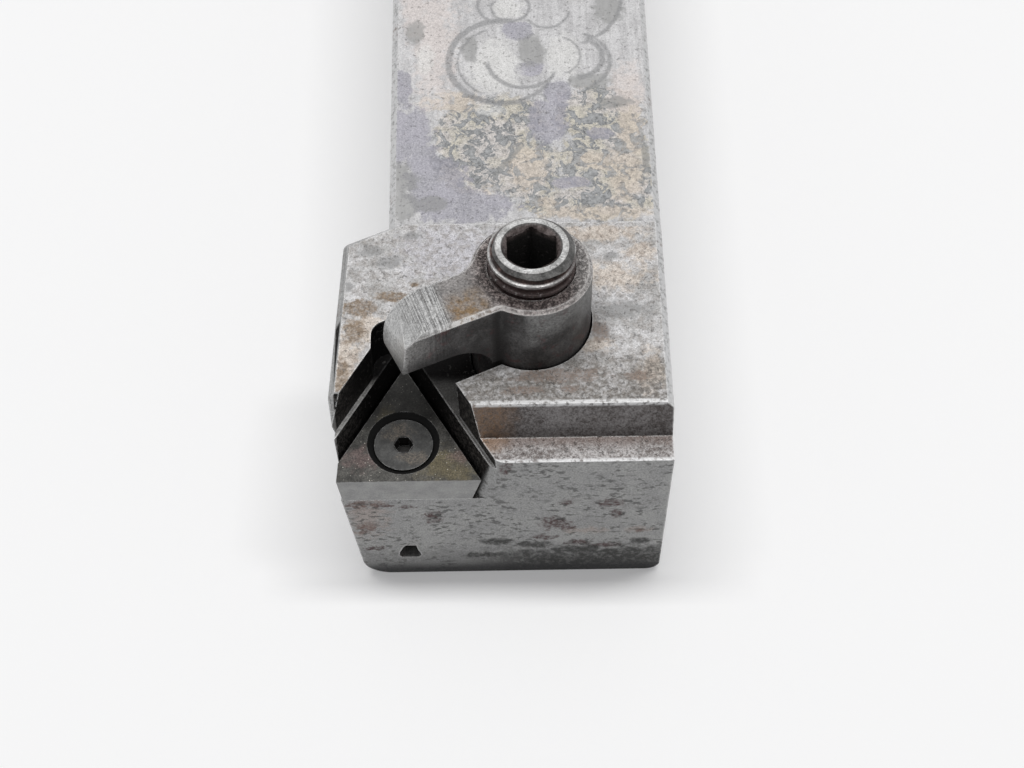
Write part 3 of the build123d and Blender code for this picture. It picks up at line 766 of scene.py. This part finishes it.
# ---- Clamp, clamp screw, shim and shim screw ----
def clamp_shared(f):
    """Places along and across the finger and up the screw's axis, and the clamp's noises and masks."""
    m = SimpleNamespace()
    m.along = f.along(FINGER_ALONG, CLAMP_ORIGIN)
    m.across = f.along(FINGER_ACROSS, CLAMP_ORIGIN)
    m.above = f.along(CLAMP_UP, CLAMP_ORIGIN)
    m.clouds = f.noise(2.2, detail=6, rough=0.65, seed=2)
    m.grain = f.noise(0.2, detail=3, rough=0.6, seed=5)
    m.pits = f.ramp(f.noise(0.3, detail=4, rough=0.65, seed=6), 0.56, 0.68)
    m.reddish = f.ramp(f.noise(1.3, detail=5, rough=0.7, seed=8), 0.55, 0.68)
    m.crumbs = f.ramp(f.noise(0.3, detail=6, rough=0.9, seed=12), 0.48, 0.57)
    m.base = f.times(f.ramp(m.along, 6.2, 3.8), f.ramp(m.above, 6.4, 6.8))
    return m


def clamp_top(f, m):
    """Colour of the clamp's top: crumbs over the boss, soot round the screw and a tan stain."""
    top = f.blend(m.clouds, 0.35, 0.65, CLAMP_TOP_DARK, CLAMP_TOP_LIGHT)
    top = f.mix(f.times(m.base, 0.9), top, f.mix(m.crumbs, CRUMB_DARK, CRUMB_LIGHT))
    radial = f.add(f.reach(m.along, m.across), f.swing(m.clouds, 3.0))
    well = f.times(f.ramp(radial, 5.6, 4.3), f.ramp(m.above, 5.8, 6.4))
    top = f.mix(f.times(well, 0.85), top, f.mix(m.crumbs, WELL_DARK, WELL_LIGHT))
    stain = f.times(f.ramp(m.along, 9.4, 8.2), f.ramp(m.along, 4.6, 6.0), f.ramp(m.across, -0.6, 1.2))
    patchy = f.ramp(f.noise(0.9, detail=5, rough=0.7, seed=15), 0.38, 0.6, 0.3, 1.0)
    return f.mix(f.times(stain, patchy), top, CLAMP_STAIN)


def ground_nose(f, m):
    """Colour of the nose, ground bright with score lines across it, and the masks of both."""
    skew = f.add(m.along, f.times(m.across, -0.12))
    ground = f.times(f.ramp(skew, 8.2, 9.2), f.ramp(m.above, 2.6, 3.4), f.ramp(m.across, 3.05, 2.9))
    lines = f.line_noise(f.times(skew, 5.5), 4.0, 0.7)
    patchy = f.ramp(f.noise(2.0, detail=3, seed=19), 0.35, 0.6, 0.35, 1.0)
    score = f.times(f.ramp(lines, 0.52, 0.40), patchy, f.band(skew, 8.3, 12.4, 0.4))
    bright = f.blend(m.clouds, 0.3, 0.7, GROUND_DARK, GROUND_LIGHT)
    return f.mix(f.times(score, 0.75), bright, GROUND_SCORE), ground, score


def clamp_sides(f, m, colour):
    """Lightens the nose's front and side, the boss's open top and its side."""
    front = f.times(f.ramp(m.along, 13.2, 13.5), f.ramp(m.above, 6.0, 5.2))
    colour = f.mix(f.times(front, 0.7), colour, NOSE_FRONT)
    side = f.times(f.ramp(m.along, 9.5, 13.0), f.ramp(m.across, 2.9, 3.05), f.ramp(m.above, 3.0, 5.5))
    colour = f.mix(f.times(side, 0.8), colour, NOSE_SIDE)
    away = f.add(f.times(m.across, 0.35), f.times(m.along, -1.0))
    open_top = f.times(m.base, f.ramp(away, 2.6, 5.0))
    colour = f.mix(f.times(open_top, f.ramp(m.crumbs, 0, 1, 0.25, 0.8)), colour, BOSS_OPEN_TOP)
    boss = f.times(f.ramp(m.along, 3.2, 2.2), f.ramp(f.nz, 0.6, 0.4),
                   f.ramp(f.add(m.above, f.times(m.clouds, 5.0)), 4.5, 8.5))
    return f.mix(f.times(boss, f.ramp(m.reddish, 0, 1, 0.8, 0.45)), colour, BOSS_SIDE)


def clamp_dirt_and_shade(f, m, ground, colour):
    """Adds pits and grain, and painted shade: a dark crease where the finger meets the boss, and the dark
    under the finger.
    """
    pits = f.times(m.pits, f.invert(f.times(ground, 0.8)), 0.55)
    colour = f.mix(pits, colour, CLAMP_PIT)
    colour = f.shade(colour, f.ramp(m.grain, 0.25, 0.75, 0.62, 1.38))
    # Painted shade: a dark crease where the finger meets the boss
    crease = f.times(f.band(m.along, 4.1, 5.3, 0.5), f.ramp(m.across, 1.5, 2.4), f.ramp(m.above, 6.95, 6.6))
    colour = f.mix(f.times(crease, 0.95), colour, CREASE_SHADE)
    # Painted shade: darker low on the finger, under it
    deep = f.times(f.ramp(f.add(m.above, f.times(m.clouds, 1.6)), 5.6, 2.9),
                   f.ramp(m.along, 13.6, 11.5, 0.75, 1.0), f.ramp(m.along, 5.0, 6.2))
    return f.mix(f.times(deep, 0.85), colour, UNDER_FINGER_SHADE)


def clamp_wear(f, m, colour):
    """Bares the steel along the clamp's edges and bevels."""
    chips = f.ramp(f.noise(0.5, detail=4, rough=0.6, seed=22), 0.30, 0.44)
    worn = f.times(f.edges(0.3), chips, f.ramp(f.hollow(0.8), 0.5, 0.7))
    worn = f.times(worn, f.ramp(m.above, 3.4, 4.8))
    bevels = f.times(f.band(f.nz, 0.45, 0.9), f.ramp(m.above, 5.0, 5.6), f.ramp(m.along, 11.5, 10.5))
    flaked = f.ramp(f.noise(0.7, detail=5, rough=0.65, seed=24), 0.40, 0.56)
    bevels = f.times(bevels, f.ramp(flaked, 0, 1, 0.05, 0.65), f.ramp(m.along, 2.0, 6.0, 0.35, 1.0))
    worn = f.most(f.times(worn, 0.9), bevels)
    return f.mix(worn, colour, f.mix(m.base, CLAMP_WEAR, CLAMP_WEAR_WARM))


def clamp_finish():
    f = Finish("dark_clamp_steel", 0.55)
    m = clamp_shared(f)
    up = f.ramp(f.nz, 0.55, 0.8)
    side = f.blend(m.clouds, 0.35, 0.65, CLAMP_SIDE_DARK, CLAMP_SIDE_LIGHT)
    side = f.mix(f.times(m.reddish, 0.75), side, CLAMP_RED)
    top = clamp_top(f, m)
    nose, ground, score = ground_nose(f, m)
    top = f.mix(ground, top, nose)
    colour = f.mix(f.most(up, ground), side, top)
    colour = clamp_sides(f, m, colour)
    colour = clamp_dirt_and_shade(f, m, ground, colour)
    colour = clamp_wear(f, m, colour)
    # Painted shade: darker in corners, holes and close to other parts, from ambient occlusion within 3 mm
    colour = f.shade(colour, f.ramp(f.hollow(3.0), 0.1, 0.8, 0.35, 1.0))
    height = f.add(f.times(m.grain, 0.3), f.times(m.pits, -0.5))
    f.relief(f.add(height, f.times(score, -0.8)), 0.06)
    return f.done(colour, f.ramp(ground, 0, 1, 0.5, 0.36))


def screw_end(f, clouds, above, radial, metal):
    """Colours the screw's chamfer, its socket's rim and its thread's roots. Returns the roots' mask too."""
    rim = f.ramp(above, SCREW_TOP - 0.05, SCREW_TOP - 0.01)
    chamfer = f.times(f.invert(rim), f.ramp(above, 9.24, 9.30), 0.9)
    metal = f.mix(chamfer, metal, f.blend(clouds, 0.4, 0.6, CHAMFER_DARK, CHAMFER_LIGHT))
    rim = f.times(rim, f.ramp(radial, 3.14, 3.0, 0.25, 0.85))
    metal = f.mix(rim, metal, f.blend(clouds, 0.35, 0.62, RIM_DARK, RIM_LIGHT))
    root = f.times(f.ramp(radial, 3.80, 3.55), f.ramp(above, 9.35, 9.2))
    return f.mix(f.times(root, 0.95), metal, f.blend(clouds, 0.4, 0.62, ROOT_DARK, ROOT_RUST)), root


def thread_finish():
    f = Finish("worn_screw_steel", 0.7)
    above = f.along(CLAMP_UP, CLAMP_ORIGIN)
    radial = f.reach(f.along(CLAMP_X, CLAMP_ORIGIN), f.along(CLAMP_Y, CLAMP_ORIGIN))
    clouds = f.noise(1.2, detail=6, rough=0.65, seed=2)
    grain = f.noise(0.18, detail=3, rough=0.6, seed=5)
    metal = f.blend(clouds, 0.3, 0.7, THREAD_DARK, THREAD_LIGHT)
    metal, root = screw_end(f, clouds, above, radial, metal)
    crust = f.ramp(f.noise(0.35, detail=5, rough=0.8, seed=9), 0.30, 0.46)
    crust = f.times(crust, f.ramp(above, 8.9, 8.3, 0.0, 1.0))
    metal = f.mix(f.times(crust, 0.92), metal, THREAD_CRUST)
    socket = f.times(f.ramp(radial, 2.74, 2.66), f.ramp(above, SCREW_TOP, SCREW_TOP - 0.25))
    metal = f.mix(f.times(socket, 0.9), metal, f.blend(clouds, 0.4, 0.6, SOCKET_DARK, SOCKET_LIGHT))
    # Painted shade: darker deeper in the socket
    depth_shade = f.times(f.ramp(radial, 2.6, 2.45), f.ramp(above, 9.4, 8.6))
    metal = f.mix(depth_shade, metal, SOCKET_DEPTH_SHADE)
    nicks = f.ramp(f.noise(0.5, detail=3, rough=0.5, seed=14), 0.62, 0.70)
    metal = f.mix(f.times(nicks, 0.6), metal, THREAD_NICK)
    metal = f.shade(metal, f.ramp(grain, 0.25, 0.75, 0.65, 1.35))
    f.relief(f.add(f.times(grain, 0.4), f.times(nicks, -0.6)), 0.07)
    return f.done(metal, f.ramp(f.most(crust, root), 0, 1, 0.46, 0.75))


def shim_top(f, up, clouds):
    """Colour of the shim: dark, with ochre and plum stains and bright sparks on top."""
    colour = f.blend(clouds, 0.3, 0.7, SHIM_DARK, SHIM_LIGHT)
    ochre = f.blots([((-8.0, -21.8), (2.2, 1.5)), ((-6.6, -22.8), (1.6, 0.8)), ((-13.0, -17.0), (0.7, 1.2))],
                    ragged=0.7, soft=0.6)
    colour = f.mix(f.times(ochre, up, 0.7), colour, SHIM_OCHRE)
    plum = f.blots([((-15.2, -21.2), (1.4, 1.0)), ((-6.2, -21.0), (0.8, 0.8))], ragged=0.9, soft=0.5)
    colour = f.mix(f.times(plum, up, 0.6), colour, SHIM_PLUM)
    sparks = f.ramp(f.spots(0.30, seed=7), 0.20, 0.10)
    thinned = f.ramp(f.noise(1.0, detail=2, seed=12), 0.38, 0.6)
    return f.mix(f.times(sparks, thinned, up, 0.75), colour, SHIM_SPARK)


def shim_finish():
    f = Finish("dark_shim_carbide", 0.35)
    up = f.ramp(f.nz, 0.9, 0.98)
    clouds = f.noise(1.6, detail=6, rough=0.65, seed=2)
    grain = f.noise(0.14, detail=3, rough=0.6, seed=5)
    colour = shim_top(f, up, clouds)
    colour = f.mix(f.invert(up), colour, f.blend(clouds, 0.3, 0.7, SHIM_SIDE_DARK, SHIM_SIDE_LIGHT))
    # Painted shade: the countersink cone round the shim screw, nearly black and with its reflections turned
    # down
    cone = f.times(f.blot(SEAT, (3.34, 3.34), ragged=0.0, soft=0.01), f.invert(up))
    colour = f.mix(f.times(cone, 0.97), colour, SHIM_CONE_SHADE)
    f.put(f.ramp(cone, 0, 1, 0.5, 0.1), f.shader.inputs["Specular IOR Level"])
    contrast = f.add(grain, -0.48)
    colour = f.shade(colour, f.add(1.0, f.times(contrast, f.ramp(up, 0, 1, 0.8, 3.2))))
    # Painted shadow: the shim darkens towards its back corner, under the clamp's nose
    colour = f.shade(colour, f.ramp(f.y, -18.4, -16.2, 1.0, 0.35))
    worn = f.times(f.edges(0.12), f.ramp(f.noise(0.5, detail=3, seed=15), 0.4, 0.55))
    colour = f.mix(f.times(worn, 0.45), colour, SHIM_WEAR)
    # Painted shade: darker in corners, holes and close to other parts, from ambient occlusion within 2 mm
    colour = f.shade(colour, f.ramp(f.hollow(2.0), 0.1, 0.8, 0.4, 1.0))
    f.relief(f.add(f.times(grain, 0.5), f.times(clouds, 0.5)), 0.03)
    return f.done(colour, f.ramp(clouds, 0.3, 0.7, 0.62, 0.48))


def shim_screw_finish():
    f = Finish("dull_screw_steel", 0.45)
    clouds = f.noise(1.0, detail=6, rough=0.65, seed=3)
    grain = f.noise(0.14, detail=3, rough=0.6, seed=6)
    colour = f.blend(clouds, 0.3, 0.7, DISC_DARK, DISC_LIGHT)
    smear = f.blots([((-11.8, -18.3), (1.2, 0.9)), ((-10.4, -20.9), (1.3, 0.6))], ragged=0.9, soft=0.5)
    colour = f.mix(f.times(smear, f.ramp(grain, 0.3, 0.7, 0.1, 0.7)), colour, DISC_SMEAR)
    # Painted shade: the socket below its mouth nearly black
    socket = f.times(f.blot(SEAT, (0.92, 0.92), ragged=0.0, soft=0.01), f.ramp(f.z, 18.78, 18.62))
    colour = f.mix(socket, colour, DISC_SOCKET_SHADE)
    colour = f.shade(colour, f.ramp(grain, 0.25, 0.75, 0.75, 1.25))
    worn = f.times(f.edges(0.1), f.ramp(f.noise(0.4, detail=3, seed=15), 0.4, 0.55))
    colour = f.mix(f.times(worn, 0.6), colour, DISC_WEAR)
    f.relief(f.add(f.times(grain, 0.5), f.times(clouds, 0.4)), 0.03)
    return f.done(colour, f.ramp(clouds, 0.3, 0.7, 0.57, 0.43))


# ---- Pieces ----
def dress(node, finish):
    """Gives a CAD node its material."""
    shape = frame["nodes"][node]
    for slot in shape.material_slots:
        slot.material = finish


def screw_radius(height, angle):
    """Radius of the screw at a height and angle: two threads of opposite hands, a neck and chamfered ends."""
    end_loss = max(0.0, TOP_CHAMFER - (SCREW_TOP - height), BOTTOM_CHAMFER - (height - SCREW_BOTTOM))
    limit = SCREW_RADIUS - end_loss
    if NECK_BOTTOM - NECK_FLARE < height < NECK_TOP + NECK_FLARE:
        away = max(NECK_BOTTOM - height, height - NECK_TOP, 0.0)
        limit = min(limit, NECK_RADIUS + away)
    upper = height > (NECK_TOP + NECK_BOTTOM) / 2
    turns = angle / (2 * math.pi) + THREAD_START
    phase = (height - THREAD_HEIGHT) / PITCH + (turns if upper else -turns)
    from_crest = abs((phase % 1.0) - 0.5) * 2
    groove = min(1.0, max(0.0, (from_crest - CREST_SHARE) / FLANK_SHARE))
    return min(limit, SCREW_RADIUS - THREAD_DEPTH * groove)


def socket_radius(drop, angle):
    """Radius of the hexagon socket at a drop below the screw's top, with its chamfered mouth."""
    flat = (angle + math.pi / 6) % (math.pi / 3) - math.pi / 6
    return max(SOCKET_FLAT / math.cos(flat), SOCKET_MOUTH - drop)


def screw_rings():
    """Rings of (radius, angle, height) up the outside of the screw and down into its socket."""
    angles = [2 * math.pi * i / SCREW_COLUMNS for i in range(SCREW_COLUMNS)]
    rings = []
    for row in range(SCREW_ROWS + 1):
        height = SCREW_BOTTOM + (SCREW_TOP - SCREW_BOTTOM) * row / SCREW_ROWS
        rings.append([(screw_radius(height, a), a, height) for a in angles])
    for drop in SOCKET_DROPS:
        rings.append([(socket_radius(drop, a), a, SCREW_TOP - drop) for a in angles])
    rings.append([(SOCKET_POINT, a, SCREW_TOP - SOCKET_DEEPEST) for a in angles])
    return rings


def ring_faces(ring_count):
    """Quads between neighbouring rings, with a cap on the first and the last."""
    faces = []
    for row in range(ring_count - 1):
        low, high = row * SCREW_COLUMNS, (row + 1) * SCREW_COLUMNS
        for i in range(SCREW_COLUMNS):
            j = (i + 1) % SCREW_COLUMNS
            faces.append((low + i, low + j, high + j, high + i))
    faces.append(tuple(range(SCREW_COLUMNS - 1, -1, -1)))
    last = (ring_count - 1) * SCREW_COLUMNS
    faces.append(tuple(range(last, last + SCREW_COLUMNS)))
    return faces


def make_clamp_screw(finish):
    """The clamp screw with its two threads of opposite hands and its socket, as one surface of rings."""
    rings = screw_rings()
    points = []
    for ring in rings:
        for radius, angle, height in ring:
            outward = radius * math.cos(angle) * CLAMP_X + radius * math.sin(angle) * CLAMP_Y
            points.append((CLAMP_ORIGIN + outward + height * CLAMP_UP) * MM)

    mesh = bpy.data.meshes.new("clamp_screw_threaded")
    mesh.from_pydata(points, [], ring_faces(len(rings)))
    mesh.update()
    mesh.polygons.foreach_set("use_smooth", [True] * len(mesh.polygons))
    mesh.materials.append(finish)
    piece = bpy.data.objects.new("clamp_screw_threaded", mesh)
    bpy.context.scene.collection.objects.link(piece)
    mesh.set_sharp_from_angle(angle=math.radians(28))
    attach(piece, "clamp_screw")
    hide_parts("clamp_screw")


# ---- Camera, light and floor ----
def add_camera():
    """The photograph's view, worked out from the holder's corners and edges."""
    view = bpy.data.cameras.new("camera")
    view.sensor_width = SENSOR_WIDTH
    view.lens = LENS
    view.clip_start = 0.005
    ahead = Vector((math.sin(VIEW_YAW) * math.cos(VIEW_DOWN), math.cos(VIEW_YAW) * math.cos(VIEW_DOWN),
                    -math.sin(VIEW_DOWN)))
    level = Vector((math.cos(VIEW_YAW), -math.sin(VIEW_YAW), 0))
    upright = level.cross(ahead)
    across = math.cos(VIEW_ROLL) * level + math.sin(VIEW_ROLL) * upright
    upright = -math.sin(VIEW_ROLL) * level + math.cos(VIEW_ROLL) * upright
    place = Matrix((across, upright, -ahead)).transposed().to_4x4()
    place.translation = VIEW_PLACE * MM
    camera = bpy.data.objects.new("camera", view)
    camera.matrix_world = place
    bpy.context.scene.collection.objects.link(camera)
    bpy.context.scene.camera = camera


def add_lamp(name, place, target, size, power):
    """A rectangular area lamp that faces its target, in metres and watts."""
    lamp = bpy.data.lights.new(name, "AREA")
    lamp.shape = "RECTANGLE"
    lamp.size, lamp.size_y = size
    lamp.energy = power
    holder = bpy.data.objects.new(name, lamp)
    direction = Vector(target) - Vector(place)
    holder.rotation_euler = direction.to_track_quat("-Z", "Y").to_euler()
    holder.location = place
    bpy.context.scene.collection.objects.link(holder)


def floor_finish():
    """Matt grey with a glow that only the camera and reflections see, brighter further out."""
    material = bpy.data.materials.new("pale_floor")
    g = Graph(material)
    matt = g.node("ShaderNodeBsdfDiffuse")
    g.put(FLOOR_COLOUR, matt.inputs["Color"])
    glow = g.node("ShaderNodeEmission")
    g.put(FLOOR_GLOW, glow.inputs["Color"])
    coords = g.node("ShaderNodeTexCoord")
    away = g.node("ShaderNodeVectorMath", operation="LENGTH")
    g.link(coords.outputs["Object"], away.inputs[0])
    strength = g.ramp(away.outputs["Value"], 0.0, GLOW_REACH, GLOW_NEAR, GLOW_FAR)
    g.link(g.times(g.seen(), strength), glow.inputs["Strength"])
    both = g.node("ShaderNodeAddShader")
    g.link(matt.outputs[0], both.inputs[0])
    g.link(glow.outputs[0], both.inputs[1])
    output = g.node("ShaderNodeOutputMaterial")
    g.link(both.outputs[0], output.inputs["Surface"])
    return material


def add_floor():
    mesh = bpy.data.meshes.new("floor")
    corners = [(-FLOOR_REACH, -FLOOR_REACH, 0), (FLOOR_REACH, -FLOOR_REACH, 0),
               (FLOOR_REACH, FLOOR_REACH, 0), (-FLOOR_REACH, FLOOR_REACH, 0)]
    mesh.from_pydata(corners, [], [(0, 1, 2, 3)])
    mesh.materials.append(floor_finish())
    floor = bpy.data.objects.new("floor", mesh)
    floor.location.z = -FLOOR_DROP
    bpy.context.scene.collection.objects.link(floor)


def add_world():
    """White light from all round, brighter where it is seen than where it lights the part."""
    world = bpy.data.worlds.new("studio")
    bpy.context.scene.world = world
    g = Graph(world)
    shine = g.node("ShaderNodeBackground")
    g.put(WHITE, shine.inputs["Color"])
    g.link(g.ramp(g.seen(), 0, 1, WORLD_LIGHT, WORLD_SEEN), shine.inputs["Strength"])
    output = g.node("ShaderNodeOutputWorld")
    g.link(shine.outputs[0], output.inputs["Surface"])


dress("holder_body", holder_finish())
dress("clamp", clamp_finish())
dress("shim", shim_finish())
dress("shim_screw", shim_screw_finish())
make_clamp_screw(thread_finish())
add_camera()
add_floor()
add_world()
add_lamp("overhead", LAMP_PLACE, LAMP_TARGET, LAMP_SIZE, LAMP_POWER)
bpy.context.scene.view_settings.view_transform = "Standard"
